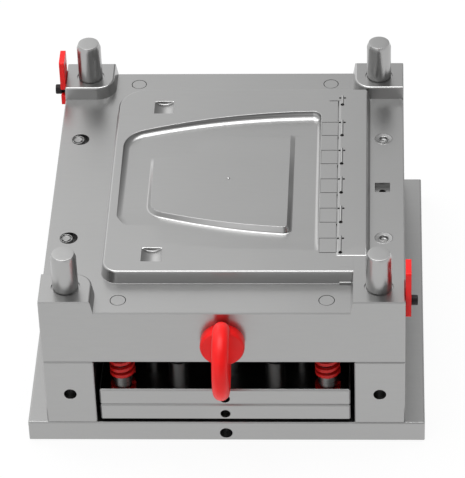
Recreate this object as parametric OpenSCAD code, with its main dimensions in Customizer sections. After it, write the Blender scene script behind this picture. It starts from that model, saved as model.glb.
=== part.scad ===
// Moving half of an injection mould for a hinged box lid, with its ejector set.
// Origin: centre of the clamp plate's bottom face, at the mouth of the knockout bore.
// X runs across the mould towards the hinge side, Y from the front to the back, Z is up.

/* [Plates] */
// Width of the core plate, which the outer faces of the spacer blocks line up with
core_w = 450; // [440:5:490]
// Width of the clamp plate, whose two overhangs are clamped to the machine
clamp_w = 500; // [500:5:560]
// Length of every plate, from the front to the back
plate_l = 500; // [490:5:560]
// Thickness of the clamp plate
clamp_t = 30; // [28:1:40]
// Height of the spacer blocks
spacer_h = 100; // [95:1:140]
// Width of one spacer block
spacer_w = 63; // [58:1:66]
// Thickness of the core plate up to the parting face
core_t = 80; // [76:1:110]
// Height of the lid core and of the corner bosses above the parting face
boss_h = 17; // [12:1:24]
// Draft of the raised walls from the vertical, in degrees
draft = 10; // [5:1:15]
// Chamfer along the edges of the large plates
edge_c = 1.5; // [0.5:0.5:3]
// Rounding along the top edges of the bosses, the lid core and the hinge bar
edge_r = 2.5; // [1:0.5:4]

/* [Corner bosses] */
// Width of a corner boss at its top
boss_w = 64; // [60:1:66]
// Length of a corner boss at its top
boss_l = 56; // [52:1:60]
// Radius of a boss's inner corner
boss_r = 22; // [10:1:26]

/* [Lid core] */
// Strip of parting face between the plate's edge and the lid core, at the front and the back
strip_y = 60; // [58:1:66]
// Strip of parting face left of the lid core
strip_left = 75; // [68:1:80]
// Strip of parting face right of the hinge bar
strip_right = 47; // [40:1:50]
// Depth of the core insert's pocket below the parting face
pocket_depth = 50; // [44:1:52]
// Radius of the lid core's front left corner
core_front_r = 20; // [10:1:30]
// Radius of the lid core's back left corner
core_back_r = 35; // [15:1:40]
// Clearance round the pieces that are let into a pocket
let_in_gap = 0.05; // [0.02:0.01:0.1]

/* [Lid panel] */
// Depth of the sunk lid field at the middle of the core
field_drop = 4.3; // [3:0.1:6]
// Tilt of the sunk field, deeper towards the back, in degrees
field_tilt = 2.07; // [1.5:0.01:2.5]
// Sideways tilt of the sunk field, in degrees
field_side_tilt = 0.44; // [0.1:0.01:0.8]
// Fillet round the foot of the sunk field's wall
field_fillet = 8; // [4:0.5:9]
// Rim of flat core left of the sunk field
field_rim = 11.4; // [9:0.2:16]
// Flat core between the sunk field and the hinge blocks
field_hinge_rim = 1.4; // [1:0.1:4]
// Distance from the lid core's back edge to the top of the sunk field's back arc
field_back = 49.5; // [44:0.5:60]
// Radius of the two long arcs that bound the lid panel
arc_r = 635; // [560:5:700]
// Drop of the raised wedge's top at the middle of the core
wedge_drop = 1.7; // [1.2:0.1:2.5]
// Tilt of the raised wedge's top, in degrees
wedge_tilt = 4.28; // [3.6:0.01:4.8]
// Angle of the wedge's back line to the mould's width, in degrees
wedge_skew = 12; // [8:1:16]
// Distance from the sunk field's back arc to the wedge's back right corner
wedge_back = 52; // [48:1:60]
// Distance from the lid core's left edge to the foot of the wedge
wedge_left = 48.5; // [40:0.5:60]
// Distance from the sunk field's right edge to the foot of the wedge
wedge_right = 33; // [26:0.5:45]
// Distance from the lid core's front edge to the foot of the wedge's arc
wedge_front = 72; // [62:0.5:80]
// Width of the wedge's sloped walls
wedge_wall = 5.5; // [4:0.5:7]

/* [Latch pockets] */
// Radius of the round floor of a latch pocket
latch_r = 16.2; // [15:0.1:18]
// Depth of a latch pocket at its middle
latch_depth = 8; // [5:0.5:10]
// Length of a latch pocket
latch_l = 29.5; // [24:0.5:34]
// Distance from the lid core's left edge to the middle of a latch pocket
latch_x = 60; // [50:0.5:66]
// Distance from the lid core's front or back edge to a latch pocket
latch_edge = 22; // [18:0.5:30]

/* [Hinge side] */
// Width of the hinge bar at its top
bar_w = 37.8; // [34:0.2:42]
// Depth of the hinge bar's seat below the parting face
bar_depth = 25; // [20:1:30]
// Distance from the lid core's front edge to the hinge bar
bar_front = 31; // [28:1:36]
// Length of one hinge block
block_l = 27.5; // [22:0.5:30]
// Width of one hinge block
block_w = 20.7; // [18:0.1:23]
// Height of one hinge block
block_h = 40; // [36:1:42]
// Distance from the lid core's front edge to the middle of the first hinge block
block_front = 51.3; // [50:0.1:56]
// Distance from the lid core's back edge to the middle of the last hinge block
block_back = 87.5; // [80:0.5:90]
// Sliding clearance round a hinge block
block_gap = 0.3; // [0.2:0.05:0.5]
// Width of the groove between the hinge blocks and the hinge bar
groove_w = 1.2; // [0.8:0.1:2]
// Depth of that groove
groove_depth = 3; // [2:0.5:5]
// Diameter of a knuckle rod
knuckle_d = 3.4; // [2.6:0.2:4]
// Length of a knuckle rod
knuckle_l = 33; // [28:1:36]
// Distance from the hinge bar's left edge to the knuckle rods
knuckle_x = 4.4; // [4:0.1:6]
// Width of the small block at the front end of the hinge side
end_block_w = 14; // [10:0.5:15]

/* [Guide pins] */
// Diameter of the free part of a guide pin
guide_d = 32; // [28:1:34]
// Diameter of a guide pin where it sits in the core plate
guide_fit_d = 36; // [36:1:38]
// Height of a guide pin above the boss
guide_h = 50; // [40:1:70]
// Distance from the core plate's side edge to a guide pin
guide_edge_x = 32.5; // [32:0.5:36]
// Distance from the core plate's front or back edge to a guide pin
guide_edge_y = 30; // [28:0.5:34]
// Sliding clearance on the radius of every round pin that moves
slide_gap = 0.05; // [0.02:0.01:0.1]

/* [Ejector set] */
// Gap between the ejector plates and each spacer block
side_gap = 5; // [3:0.5:8]
// Thickness of the ejector plate
ejector_t = 25; // [22:1:30]
// Thickness of the retainer plate
retainer_t = 25; // [22:1:28]
// Height of the rest buttons under the ejector plate
rest_h = 5; // [4:0.5:8]
// Diameter of a return pin
return_d = 20; // [16:1:22]
// Distance from the side of the ejector plates to a return pin
return_edge_x = 28.5; // [27:0.5:32]
// Distance from the front or back of the plates to a return pin
return_edge_y = 25; // [25:0.5:28]
// Outer diameter of a return spring
spring_d = 32; // [30:1:34]
// Radial width of the spring wire
spring_wire_w = 5; // [3:0.2:5]
// Height of the spring wire
spring_wire_h = 4.8; // [3.6:0.2:5]
// Number of coils in a return spring
spring_turns = 7; // [6:1:8]
// Depth of a spring pocket in the underside of the core plate
spring_pocket = 30; // [26:1:34]
// Height of the collar under a return spring
collar_h = 7; // [5:0.5:10]
// Diameter of an ejector rod under a hinge block
rod_d = 12; // [10:1:14]
// Diameter of the pin at the middle of the lid core
centre_pin_d = 4; // [3:0.5:6]
// Diameter of an ejector guide pin
ejector_guide_d = 20; // [16:1:22]
// Outer diameter of a guide bush
bush_d = 30; // [28:1:34]
// Diameter of a small support pillar
pillar_d = 25; // [22:1:28]
// Diameter of a middle support pillar
mid_pillar_d = 40; // [32:1:44]
// Clearance on the radius between a pillar and the ejector plates
pillar_gap = 2; // [1:0.5:3]

/* [Lifting and locking] */
// Diameter of the knockout bore in the clamp plate
knockout_d = 40; // [30:1:50]
// Diameter of the lifting holes in the clamp plate and the spacer blocks
lift_d = 16; // [12:1:16]
// Diameter of the lifting holes in the ejector plates
small_lift_d = 12.6; // [10:0.2:14]
// Depth of the lifting holes
lift_depth = 35; // [25:1:40]
// Outer diameter of the eyebolt's ring
eye_d = 97; // [90:1:104]
// Diameter of the eyebolt's ring section
eye_rod_d = 20.6; // [18:0.2:24]
// Diameter of the eyebolt's shank
eye_shank_d = 24; // [20:1:27]
// Height of the eyebolt above the underside of the core plate
eye_h = 35; // [32:1:42]
// Thickness of a safety strap
strap_t = 7; // [5:0.5:9]
// Width of a safety strap
strap_w = 31; // [28:1:36]
// Length of a safety strap
strap_l = 69; // [60:1:80]
// Diameter of a strap screw
strap_screw_d = 8; // [6:1:8]
// Height of a strap screw under the top of the boss
strap_screw_drop = 20.5; // [19:0.5:24]
// Diameter of the four lock holes in the side strips
lock_d = 23; // [20:0.5:25]

/* [Hidden] */
$fn = 64;
over = 1;
slice = 0.05;
thread_gap = 0.05;

// Heights of the stacked plates
spacer_z = clamp_t;
core_z = clamp_t + spacer_h;
parting_z = core_z + core_t;
top_z = parting_z + boss_h;
ejector_z = clamp_t + rest_h;
retainer_z = ejector_z + ejector_t;
retainer_top = retainer_z + retainer_t;
pocket_z = parting_z - pocket_depth;
slope_x = boss_h * tan(draft);

half_w = core_w / 2;
half_l = plate_l / 2;
spacer_x = half_w - spacer_w / 2;
ejector_w = core_w - 2 * spacer_w - 2 * side_gap;

// Edges of the lid core at its top
core_left = -(half_w - strip_left);
core_front = -(half_l - strip_y);
core_back = half_l - strip_y;
plateau_right = half_w - strip_right;
bar_left = plateau_right - bar_w;
bar_y = core_front + bar_front;
bar_z = parting_z - bar_depth;
bar_corner_r = 2 * edge_r;
insert_right = half_w - boss_w;

// Hinge blocks and the sunk field between them and the left rim
block_n = 5;
block_pitch = (core_back - core_front - block_front - block_back) / (block_n - 1);
block_right = bar_left - groove_w;
block_left = block_right - block_w;
block_x = (block_left + block_right) / 2;
block_z = top_z - block_h;
field_left = core_left + field_rim;
field_right = block_left - field_hinge_rim;
end_block_right = insert_right - 3;
end_block_foot = 1.6;
end_block_sink = 2;
field_arc_y = core_back - field_back;
wedge_arc_y = core_front + wedge_front;

// Screw sizes by nominal diameter: M16, M10 and M8 cap screws
clamp_screw_d = 16;
plate_screw_d = 10;
clamp_screw_y = 0.6 * half_l;
spacer_screw_y = 0.24 * half_l;
screw_bite = 28;
short_bite = 15;
head_sink = 1;
plate_screw_x = ejector_w / 2 - 14;
plate_screw_ys = [0.76 * half_l, 0.28 * half_l];
insert_screw_xs = [core_left + 35, field_right - 42];
insert_screw_y = 100;
bar_screw_x = insert_right + 9;
bar_screw_ys = [-60, 90];

// Places of the pins and pillars in the ejector space
guide_x = half_w - guide_edge_x;
guide_y = half_l - guide_edge_y;
return_x = ejector_w / 2 - return_edge_x;
return_y = half_l - return_edge_y;
pillar_x = 0.39 * ejector_w / 2;
pillar_y = 0.75 * half_l;
mid_pillar_y = 0.62 * half_l;
ejector_guide_x = return_x - 33.5;
ejector_guide_y = 0.632 * half_l;
ejector_guide_bite = 15;
rest_x = ejector_w / 2 - 47;
rest_y = half_l - 40;
rest_d = 25;
rest_spigot_d = 12;
head_l = 8;
head_step = 2.5;
rod_head_l = 6;
collar_wall = 2;
knockout_thread_d = 16;
knockout_floor = 5;

// Lifting holes sit a little under the middle of their plates
lift_under = 2.5;
eye_z = core_z + eye_h;
eye_flange_d = 50;
eye_flange_t = 9;
eye_reach = 37.5;
eye_bite = 36;

// Locks in the side strips
lock_x = half_w - 26.5;
lock_y = 103;
lock_depth = 12;
lock_screw_d = 10;
lock_shift = 3.2;
seat_x = half_w - 28;
seat_w = 19.5;
seat_depth = 7;
seat_screw_d = 8.4;

// Safety straps hang on one screw each in the side faces of two corner bosses
strap_gap = 0.2;
strap_screw_z = top_z - strap_screw_drop;
strap_slot_r = strap_screw_d / 2 + 0.4;
strap_slot_tilt = 20;
strap_head_h = 8;
strap_screw_bite = 12;

steel = [0.70, 0.70, 0.71];
bright_steel = [0.80, 0.80, 0.82];
red_paint = [0.86, 0.10, 0.10];
black_oxide = [0.12, 0.12, 0.12];

// Rectangle on its centre with cut corners
module cut_rect(w, h, c) {
    a = w / 2;
    b = h / 2;
    polygon([[a - c, -b], [a, c - b], [a, b - c], [a - c, b],
        [c - a, b], [-a, b - c], [-a, c - b], [c - a, -b]]);
}

// Plate on its bottom face with every edge chamfered
module plate(w, l, t, c = edge_c) {
    intersection() {
        linear_extrude(t) cut_rect(w, l, c);
        translate([0, l / 2, t / 2]) rotate([90, 0, 0]) linear_extrude(l) cut_rect(w, t, c);
        translate([-w / 2, 0, t / 2]) rotate([90, 0, 90]) linear_extrude(w) cut_rect(l, t, c);
    }
}

// Places its children at all four mirrored corners
module at_corners(x, y) {
    for (sx = [-1, 1], sy = [-1, 1]) translate([sx * x, sy * y, 0]) children();
}

// Profile in the XZ plane, extruded from y0 to y1
module along_y(y0, y1) {
    translate([0, y1, 0]) rotate([90, 0, 0]) linear_extrude(y1 - y0) children();
}

// Profile in the YZ plane, extruded from x0 to x1
module along_x(x0, x1) {
    translate([x0, 0, 0]) rotate([90, 0, 90]) linear_extrude(x1 - x0) children();
}

// Profile of a raised part: its drafted wall faces -X, and its top edge, at x = 0, is rounded
module wall_profile(l, root = -over) {
    x = edge_r * (1 / cos(draft) - tan(draft));
    z = boss_h - edge_r;
    polygon([[-slope_x, root], [-slope_x, 0], [x - edge_r * cos(draft), z + edge_r * sin(draft)],
        [x, boss_h], [l, boss_h], [l, root]]);
    translate([x, z]) circle(edge_r);
}

// Round corner of a raised part, turned about the corner's own axis
module wall_corner(r, root = -over) {
    rotate_extrude() translate([r, 0]) mirror([1, 0]) wall_profile(r, root);
}

// Cap screw with its head resting on z = 0 and its shank downwards
module cap_screw(d, l, head_d = 0, head_h = 0) {
    hd = head_d > 0 ? head_d : 1.5 * d;
    hh = head_h > 0 ? head_h : d;
    tip = d / 10;
    difference() {
        union() {
            cylinder(d = hd, h = hh - tip);
            translate([0, 0, hh - tip]) cylinder(d1 = hd, d2 = hd - 2 * tip, h = tip);
            translate([0, 0, tip - l]) cylinder(d = d, h = l);
            translate([0, 0, -l]) cylinder(d1 = d - 2 * tip, d2 = d, h = tip);
        }
        translate([0, 0, hh * 0.45]) cylinder(d = 0.86 * d, h = hh, $fn = 6);
    }
}

// Hole for a cap screw that is put in from below, with its head sunk at z = 0
module screw_hole_up(d, sink, l) {
    translate([0, 0, -over]) cylinder(d = 1.5 * d + 1.6, h = sink + over);
    cylinder(d = d + 1, h = l);
}

// Lifting hole with a drill tip, bored into the front and the back face
module lift_holes(x, z, d, depth) {
    for (s = [-1, 1]) translate([x, s * (half_l + over), z]) rotate([s * 90, 0, 0]) {
        cylinder(d = d, h = depth + over);
        translate([0, 0, depth + over]) cylinder(d1 = d, d2 = 0, h = d * 0.3);
    }
}

module clamp_plate() {
    color(steel) difference() {
        plate(clamp_w, plate_l, clamp_t);
        translate([0, 0, -over]) cylinder(d = knockout_d, h = clamp_t + 2 * over);
        lift_holes(0, clamp_t / 2 - lift_under, lift_d, lift_depth);
        at_corners(spacer_x, clamp_screw_y)
            screw_hole_up(clamp_screw_d, clamp_screw_d + head_sink, clamp_t + over);
        at_corners(spacer_x, spacer_screw_y)
            screw_hole_up(plate_screw_d, plate_screw_d + head_sink, clamp_t + over);
        at_corners(pillar_x, pillar_y)
            screw_hole_up(plate_screw_d, plate_screw_d + head_sink, clamp_t + over);
        for (s = [-1, 1]) translate([0, s * mid_pillar_y, 0])
            screw_hole_up(plate_screw_d, plate_screw_d + head_sink, clamp_t + over);
        at_corners(ejector_guide_x, ejector_guide_y) {
            translate([0, 0, -over])
                cylinder(d = ejector_guide_d + 2 * head_step + 1, h = head_l + over);
            cylinder(d = ejector_guide_d + 2 * thread_gap, h = clamp_t + over);
        }
        rest_places() translate([0, 0, clamp_t - rest_spigot_d])
            cylinder(d = rest_spigot_d + 2 * thread_gap, h = rest_spigot_d + over);
    }
}

// Rest buttons stand near the four corners and at the middle of each side
module rest_places() {
    for (sx = [-1, 1], y = [-rest_y, 0, rest_y]) translate([sx * rest_x, y, 0]) children();
}

module spacer_block(side) {
    color(steel) difference() {
        translate([side * spacer_x, 0, spacer_z]) plate(spacer_w, plate_l, spacer_h);
        lift_holes(side * spacer_x, spacer_z + spacer_h / 2 - lift_under, lift_d, lift_depth);
        for (s = [-1, 1]) {
            translate([side * spacer_x, s * clamp_screw_y, spacer_z - over])
                cylinder(d = clamp_screw_d + 1, h = spacer_h + 2 * over);
            translate([side * spacer_x, s * spacer_screw_y, spacer_z - over])
                cylinder(d = plate_screw_d + 2 * thread_gap, h = screw_bite + over);
        }
    }
}

// Corner boss at +X +Y with drafted inner walls; its inner corner is round or square
module corner_boss(round_corner = true) {
    x0 = half_w - boss_w;
    y0 = half_l - boss_l;
    r = round_corner ? boss_r : 0;
    root = -2 * edge_c;
    along_y(y0 + r, half_l) translate([x0, parting_z]) wall_profile(boss_w, root);
    along_x(x0 + r, half_w) translate([y0, parting_z]) wall_profile(boss_l, root);
    if (round_corner) translate([x0 + r, y0 + r, parting_z]) wall_corner(r, root);
}

// Outline of the lid core's left side, round at the front and back left corners
module core_outline(grow, right) {
    x0 = core_left - grow;
    y0 = core_front - grow;
    y1 = core_back + grow;
    rf = core_front_r + grow;
    rb = core_back_r + grow;
    translate([x0, y0 + rf]) square([right - x0, y1 - y0 - rf - rb]);
    translate([x0 + rf, y0]) square([right - x0 - rf, rf]);
    translate([x0 + rb, y1 - rb]) square([right - x0 - rb, rb]);
    translate([x0 + rf, y0 + rf]) circle(rf);
    translate([x0 + rb, y1 - rb]) circle(rb);
}

// Seat of the hinge bar, cut through the core insert and the core plate alike
module bar_space(gap) {
    x0 = bar_left - gap;
    x1 = plateau_right + slope_x + gap;
    y0 = bar_y - gap;
    y1 = core_back + slope_x + gap;
    r = bar_corner_r + slope_x + gap;
    translate([0, 0, bar_z - gap]) linear_extrude(core_t) {
        translate([x0, y0]) square([x1 - x0, y1 - y0 - r]);
        translate([x0, y0]) square([x1 - x0 - r, y1 - y0]);
        translate([x1 - r, y1 - r]) circle(r);
    }
}

module core_plate() {
    color(steel) difference() {
        intersection() {
            union() {
                translate([0, 0, core_z]) plate(core_w, plate_l, core_t);
                corner_boss();
                mirror([1, 0, 0]) corner_boss();
                mirror([1, 0, 0]) mirror([0, 1, 0]) corner_boss();
                mirror([0, 1, 0]) corner_boss(false);
                along_y(boss_l - half_l - 2 * edge_r, bar_y) translate([plateau_right, parting_z])
                    mirror([1, 0]) wall_profile(plateau_right - insert_right, -pocket_depth);
            }
            translate([0, 0, core_z]) plate(core_w, plate_l, core_t + boss_h);
        }
        translate([0, 0, pocket_z]) linear_extrude(core_t + boss_h)
            core_outline(slope_x + let_in_gap, insert_right + let_in_gap);
        bar_space(let_in_gap);
        translate([end_block_right - end_block_w, core_front - slope_x - end_block_foot - let_in_gap,
            parting_z - end_block_sink - let_in_gap])
            cube([end_block_w, end_block_foot + 2, boss_h]);
        core_plate_pin_holes();
        core_plate_screw_holes();
        core_plate_locks();
    }
}

module core_plate_pin_holes() {
    at_corners(guide_x, guide_y) translate([0, 0, core_z - over]) {
        cylinder(d = guide_fit_d + 2 * head_step + 1, h = head_l + over);
        cylinder(d = guide_fit_d + 2 * thread_gap, h = core_t + boss_h + 2 * over);
    }
    at_corners(return_x, return_y) translate([0, 0, core_z - over]) {
        cylinder(d = spring_d + 2, h = spring_pocket + over);
        cylinder(d = return_d + 2 * slide_gap, h = core_t + 2 * over);
    }
    for (i = [0 : block_n - 1]) translate([block_x, block_y(i), core_z - over])
        cylinder(d = rod_d + 1, h = core_t);
    translate([0, 0, core_z - over]) cylinder(d = centre_pin_d + 1, h = core_t);
    at_corners(ejector_guide_x, ejector_guide_y) translate([0, 0, core_z - over])
        cylinder(d = ejector_guide_d + 2 * thread_gap, h = ejector_guide_bite + 2 * over);
}

module core_plate_screw_holes() {
    at_corners(spacer_x, clamp_screw_y) translate([0, 0, core_z - over])
        cylinder(d = clamp_screw_d + 2 * thread_gap, h = screw_bite + 2 * over);
    insert_screw_places() translate([0, 0, core_z])
        screw_hole_up(plate_screw_d, plate_screw_d + head_sink, core_t / 2);
    bar_screw_places() translate([0, 0, core_z])
        screw_hole_up(plate_screw_d, spring_pocket, core_t - bar_depth + over);
    translate([0, -half_l - over, eye_z]) rotate([-90, 0, 0])
        cylinder(d = eye_shank_d + 2 * thread_gap, h = eye_bite + 2 * over);
    for (s = [-1, 1]) translate([s * (half_w + over), -s * guide_y, strap_screw_z])
        rotate([0, -s * 90, 0])
            cylinder(d = strap_screw_d + 2 * thread_gap, h = strap_screw_bite + over);
}

module core_plate_locks() {
    at_corners(lock_x, lock_y) translate([0, 0, parting_z - lock_depth])
        cylinder(d = lock_d, h = lock_depth + over);
    for (s = [-1, 1]) {
        translate([-lock_x - lock_shift, s * lock_y, parting_z - lock_depth - screw_bite])
            cylinder(d = lock_screw_d + 2 * thread_gap, h = screw_bite + over);
        translate([lock_x, s * lock_y, parting_z - lock_depth - screw_bite])
            cylinder(d = lock_screw_d + 2 * thread_gap, h = screw_bite + over);
    }
    translate([seat_x - seat_w / 2, -seat_w / 2, parting_z - seat_depth])
        cube([seat_w, seat_w, seat_depth + over]);
    translate([seat_x, 0, parting_z - seat_depth - screw_bite])
        cylinder(d = seat_screw_d, h = screw_bite + over);
}

module insert_screw_places() {
    for (x = insert_screw_xs, s = [-1, 1]) translate([x, s * insert_screw_y, 0]) children();
}

module bar_screw_places() {
    for (y = bar_screw_ys) translate([bar_screw_x, y, 0]) children();
}

// Middle of hinge block number i along Y
function block_y(i) = core_front + block_front + i * block_pitch;

// Lid core above the parting face, drafted on its left, front and back
module core_top() {
    rf = core_front_r;
    rb = core_back_r;
    along_y(core_front + rf, core_back - rb) translate([core_left, parting_z])
        wall_profile(insert_right - core_left);
    along_x(core_left + rf, insert_right) translate([core_front, parting_z])
        wall_profile(-core_front);
    along_x(core_left + rb, insert_right) translate([core_back, parting_z]) mirror([1, 0])
        wall_profile(core_back);
    translate([core_left + rf, core_front + rf, parting_z]) wall_corner(rf);
    translate([core_left + rb, core_back - rb, parting_z]) wall_corner(rb);
}

// Outline of the sunk field: straight sides, a long back arc and a slanted front
module field_outline() {
    corner = 7;
    wide_corner = 20;
    front_left = -98;
    front_right = -154;
    offset(r = corner) offset(delta = -corner) intersection() {
        offset(r = wide_corner) offset(delta = -wide_corner) intersection() {
            translate([field_right, field_arc_y - arc_r]) circle(arc_r, $fn = 240);
            polygon([[field_left, front_left], [field_right + 60, front_right],
                [field_right + 60, core_back], [field_left, core_back]]);
        }
        translate([field_left - over, front_right - 40]) square([field_right - field_left + over,
            core_back - front_right]);
    }
}

// Space above the sunk field's tilted floor, with a fillet round its foot
module field_space() {
    translate([0, 0, top_z - field_drop]) rotate([-field_tilt, field_side_tilt, 0]) hull() {
        for (a = [0 : 22.5 : 67.5]) translate([0, 0, field_fillet * (1 - cos(a))])
            linear_extrude(slice) offset(delta = -field_fillet * (1 - sin(a))) field_outline();
        translate([0, 0, field_fillet]) linear_extrude(2 * boss_h) field_outline();
    }
}

// Outline of the raised wedge at its foot
module wedge_outline() {
    corner = 9;
    left = core_left + wedge_left;
    right = field_right - wedge_right;
    intersection() {
        offset(r = corner) offset(delta = -corner) intersection() {
            translate([field_right, wedge_arc_y + arc_r]) circle(arc_r, $fn = 240);
            translate([left, -arc_r]) square([right - left, arc_r + core_back]);
        }
        translate([right, field_arc_y - wedge_back]) rotate(wedge_skew)
            translate([-2 * core_w, -2 * core_w]) square([3 * core_w, 2 * core_w]);
    }
}

// Raised wedge: walls of one width round a top that runs down into the field at its back
module raised_wedge() {
    sink = 0.3;
    hull() {
        translate([0, 0, top_z - field_drop - sink]) rotate([-field_tilt, field_side_tilt, 0])
            linear_extrude(slice) wedge_outline();
        translate([0, 0, top_z - wedge_drop]) rotate([-wedge_tilt, 0, 0])
            translate([0, 0, -slice]) linear_extrude(slice) offset(delta = -wedge_wall) wedge_outline();
    }
}

module core_insert() {
    color(steel) difference() {
        union() {
            difference() {
                union() {
                    translate([0, 0, pocket_z]) linear_extrude(pocket_depth)
                        core_outline(slope_x, insert_right);
                    core_top();
                }
                field_space();
            }
            raised_wedge();
        }
        bar_space(0);
        latch_pockets();
        block_windows();
        translate([0, 0, pocket_z - over])
            cylinder(d = centre_pin_d + 2 * slide_gap, h = core_t);
        insert_screw_places() translate([0, 0, pocket_z - over])
            cylinder(d = plate_screw_d + 2 * thread_gap, h = short_bite + 2 * over);
        translate([end_block_right - end_block_w, core_front - 10, parting_z - 5])
            cube([end_block_w, 19, boss_h + 10]);
    }
}

// Latch pockets with a round floor, near the front and the back of the left rim
module latch_pockets() {
    for (y = [core_front + latch_edge, core_back - latch_edge - latch_l])
        translate([core_left + latch_x, y, top_z + latch_r - latch_depth])
            rotate([-90, 0, 0]) cylinder(r = latch_r, h = latch_l);
}

// Windows of the hinge blocks, their rod holes and the groove along them
module block_windows() {
    for (i = [0 : block_n - 1]) {
        translate([block_left - block_gap, block_y(i) - block_l / 2 - block_gap, block_z - block_gap])
            cube([bar_left - block_left + over, block_l + 2 * block_gap, block_h + over]);
        translate([block_x, block_y(i), pocket_z - over])
            cylinder(d = rod_d + 1, h = block_z - pocket_z + over);
    }
    first = block_y(0) - block_l / 2;
    last = block_y(block_n - 1) + block_pitch;
    translate([block_right, first, top_z - groove_depth])
        cube([groove_w + over, last - first, groove_depth + over]);
    translate([block_x, last - groove_w / 2, top_z - groove_depth / 2])
        cube([block_right - block_x + over, groove_w / 2, groove_depth]);
}

// Middle of knuckle rod number i along Y, where the last rod is shorter than the others
function knuckle_y(i) = block_y(i) + 2.5;

// Length of knuckle rod number i
function knuckle_len(i) = i < block_n ? knuckle_l : knuckle_l * 0.6;

module hinge_bar() {
    top_c = 0.8;
    pit_d = knuckle_d + 0.6;
    color(steel) difference() {
        union() {
            along_y(bar_y, core_back - bar_corner_r) translate([plateau_right, parting_z])
                mirror([1, 0]) wall_profile(bar_w, -bar_depth);
            along_x(bar_left, plateau_right - bar_corner_r) translate([core_back, parting_z])
                mirror([1, 0]) wall_profile(bar_w, -bar_depth);
            translate([plateau_right - bar_corner_r, core_back - bar_corner_r, parting_z])
                wall_corner(bar_corner_r, -bar_depth);
        }
        along_x(bar_left - over, plateau_right + over) polygon([
            [bar_y - over, top_z - top_c - over], [bar_y + top_c + over, top_z + over],
            [bar_y - over, top_z + over]]);
        for (i = [0 : block_n]) {
            l = knuckle_len(i);
            translate([bar_left + knuckle_x, knuckle_y(i), top_z]) {
                translate([0, l / 2, -knuckle_d / 4]) rotate([90, 0, 0])
                    cylinder(d = knuckle_d + 2 * let_in_gap, h = l);
                translate([0, -l / 2, -3]) cylinder(d = pit_d, h = 3 + over);
                for (s = [-1, 1]) translate([s * knuckle_d * 0.8, l / 2 - 5, -3])
                    cylinder(d = pit_d * 0.55, h = 3 + over);
            }
        }
        bar_screw_places() translate([0, 0, bar_z - over])
            cylinder(d = plate_screw_d + 2 * thread_gap, h = short_bite + 2 * over);
    }
}

// Small block at the front end, with a ledge at its foot
module hinge_end_block() {
    ledge_z = parting_z + 3;
    wall = boss_h - 3;
    y0 = core_front - slope_x;
    y1 = core_front + 9 - let_in_gap;
    foot_z = parting_z - end_block_sink;
    x1 = end_block_right - let_in_gap;
    color(steel) along_x(x1 - end_block_w + 2 * let_in_gap, x1)
        polygon([[y1, parting_z - 5], [y0, parting_z - 5], [y0, foot_z],
            [y0 - end_block_foot, foot_z], [y0 - end_block_foot, ledge_z],
            [core_front - wall * tan(draft), ledge_z],
            [core_front + end_block_foot / 2, top_z - end_block_foot / 2],
            [core_front + end_block_foot, top_z], [y1, top_z]]);
}

// Half-sunk rods that form the knuckles of the lid's hinge
module knuckle_rods() {
    color(bright_steel) for (i = [0 : block_n]) {
        l = knuckle_len(i);
        translate([bar_left + knuckle_x, knuckle_y(i) + l / 2 - 0.2, top_z - knuckle_d / 4])
            rotate([90, 0, 0]) cylinder(d = knuckle_d, h = l - knuckle_d / 2 - 0.6);
    }
}

// Guide pin on the underside of the core plate, with a lead-in at its tip
module guide_pin(sx, sy) {
    ring_drop = 1.5;
    lead = 5;
    translate([sx * guide_x, sy * guide_y, core_z]) color(bright_steel) {
        cylinder(d = guide_fit_d + 2 * head_step, h = head_l - 0.2);
        cylinder(d = guide_fit_d, h = core_t + boss_h - ring_drop);
        cylinder(d = guide_d, h = core_t + boss_h + guide_h - lead);
        translate([0, 0, core_t + boss_h + guide_h - lead])
            cylinder(d1 = guide_d, d2 = guide_d - lead, h = lead);
    }
}

// Pillar between the clamp plate and the core plate, tapped for its screw
module pillar(x, y, d) {
    color(steel) translate([x, y, clamp_t]) difference() {
        union() {
            cylinder(d1 = d - 2, d2 = d, h = 1);
            translate([0, 0, 1]) cylinder(d = d, h = spacer_h - 2);
            translate([0, 0, spacer_h - 1]) cylinder(d1 = d, d2 = d - 2, h = 1);
        }
        translate([0, 0, -over])
            cylinder(d = plate_screw_d + 2 * thread_gap, h = short_bite + 2 * over);
    }
}

module ejector_guide_pin(sx, sy) {
    translate([sx * ejector_guide_x, sy * ejector_guide_y, 0]) color(bright_steel) {
        cylinder(d = ejector_guide_d + 2 * head_step, h = head_l);
        cylinder(d = ejector_guide_d, h = core_z + ejector_guide_bite - 1);
        translate([0, 0, core_z + ejector_guide_bite - 1])
            cylinder(d1 = ejector_guide_d, d2 = ejector_guide_d - 2, h = 1);
    }
}

// Cap screw put in from below, with its head's seat at height z
module screw_up(d, z, l) {
    translate([0, 0, z]) rotate([180, 0, 0]) cap_screw(d, l);
}

module clamp_screws() {
    seat = clamp_screw_d + head_sink;
    color(black_oxide) at_corners(spacer_x, clamp_screw_y)
        screw_up(clamp_screw_d, seat, core_z + screw_bite - seat);
}

module spacer_screws() {
    seat = plate_screw_d + head_sink;
    color(black_oxide) at_corners(spacer_x, spacer_screw_y)
        screw_up(plate_screw_d, seat, clamp_t + screw_bite - 1 - seat);
}

module pillar_screws() {
    seat = plate_screw_d + head_sink;
    color(black_oxide) {
        at_corners(pillar_x, pillar_y)
            screw_up(plate_screw_d, seat, clamp_t + short_bite - seat);
        for (s = [-1, 1]) translate([0, s * mid_pillar_y, 0])
            screw_up(plate_screw_d, seat, clamp_t + short_bite - seat);
    }
}

module insert_screws() {
    seat = core_z + plate_screw_d + head_sink;
    color(black_oxide) insert_screw_places()
        screw_up(plate_screw_d, seat, pocket_z + short_bite - seat);
}

module bar_screws() {
    seat = core_z + spring_pocket;
    color(black_oxide) bar_screw_places()
        screw_up(plate_screw_d, seat, bar_z + short_bite - seat);
}

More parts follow.
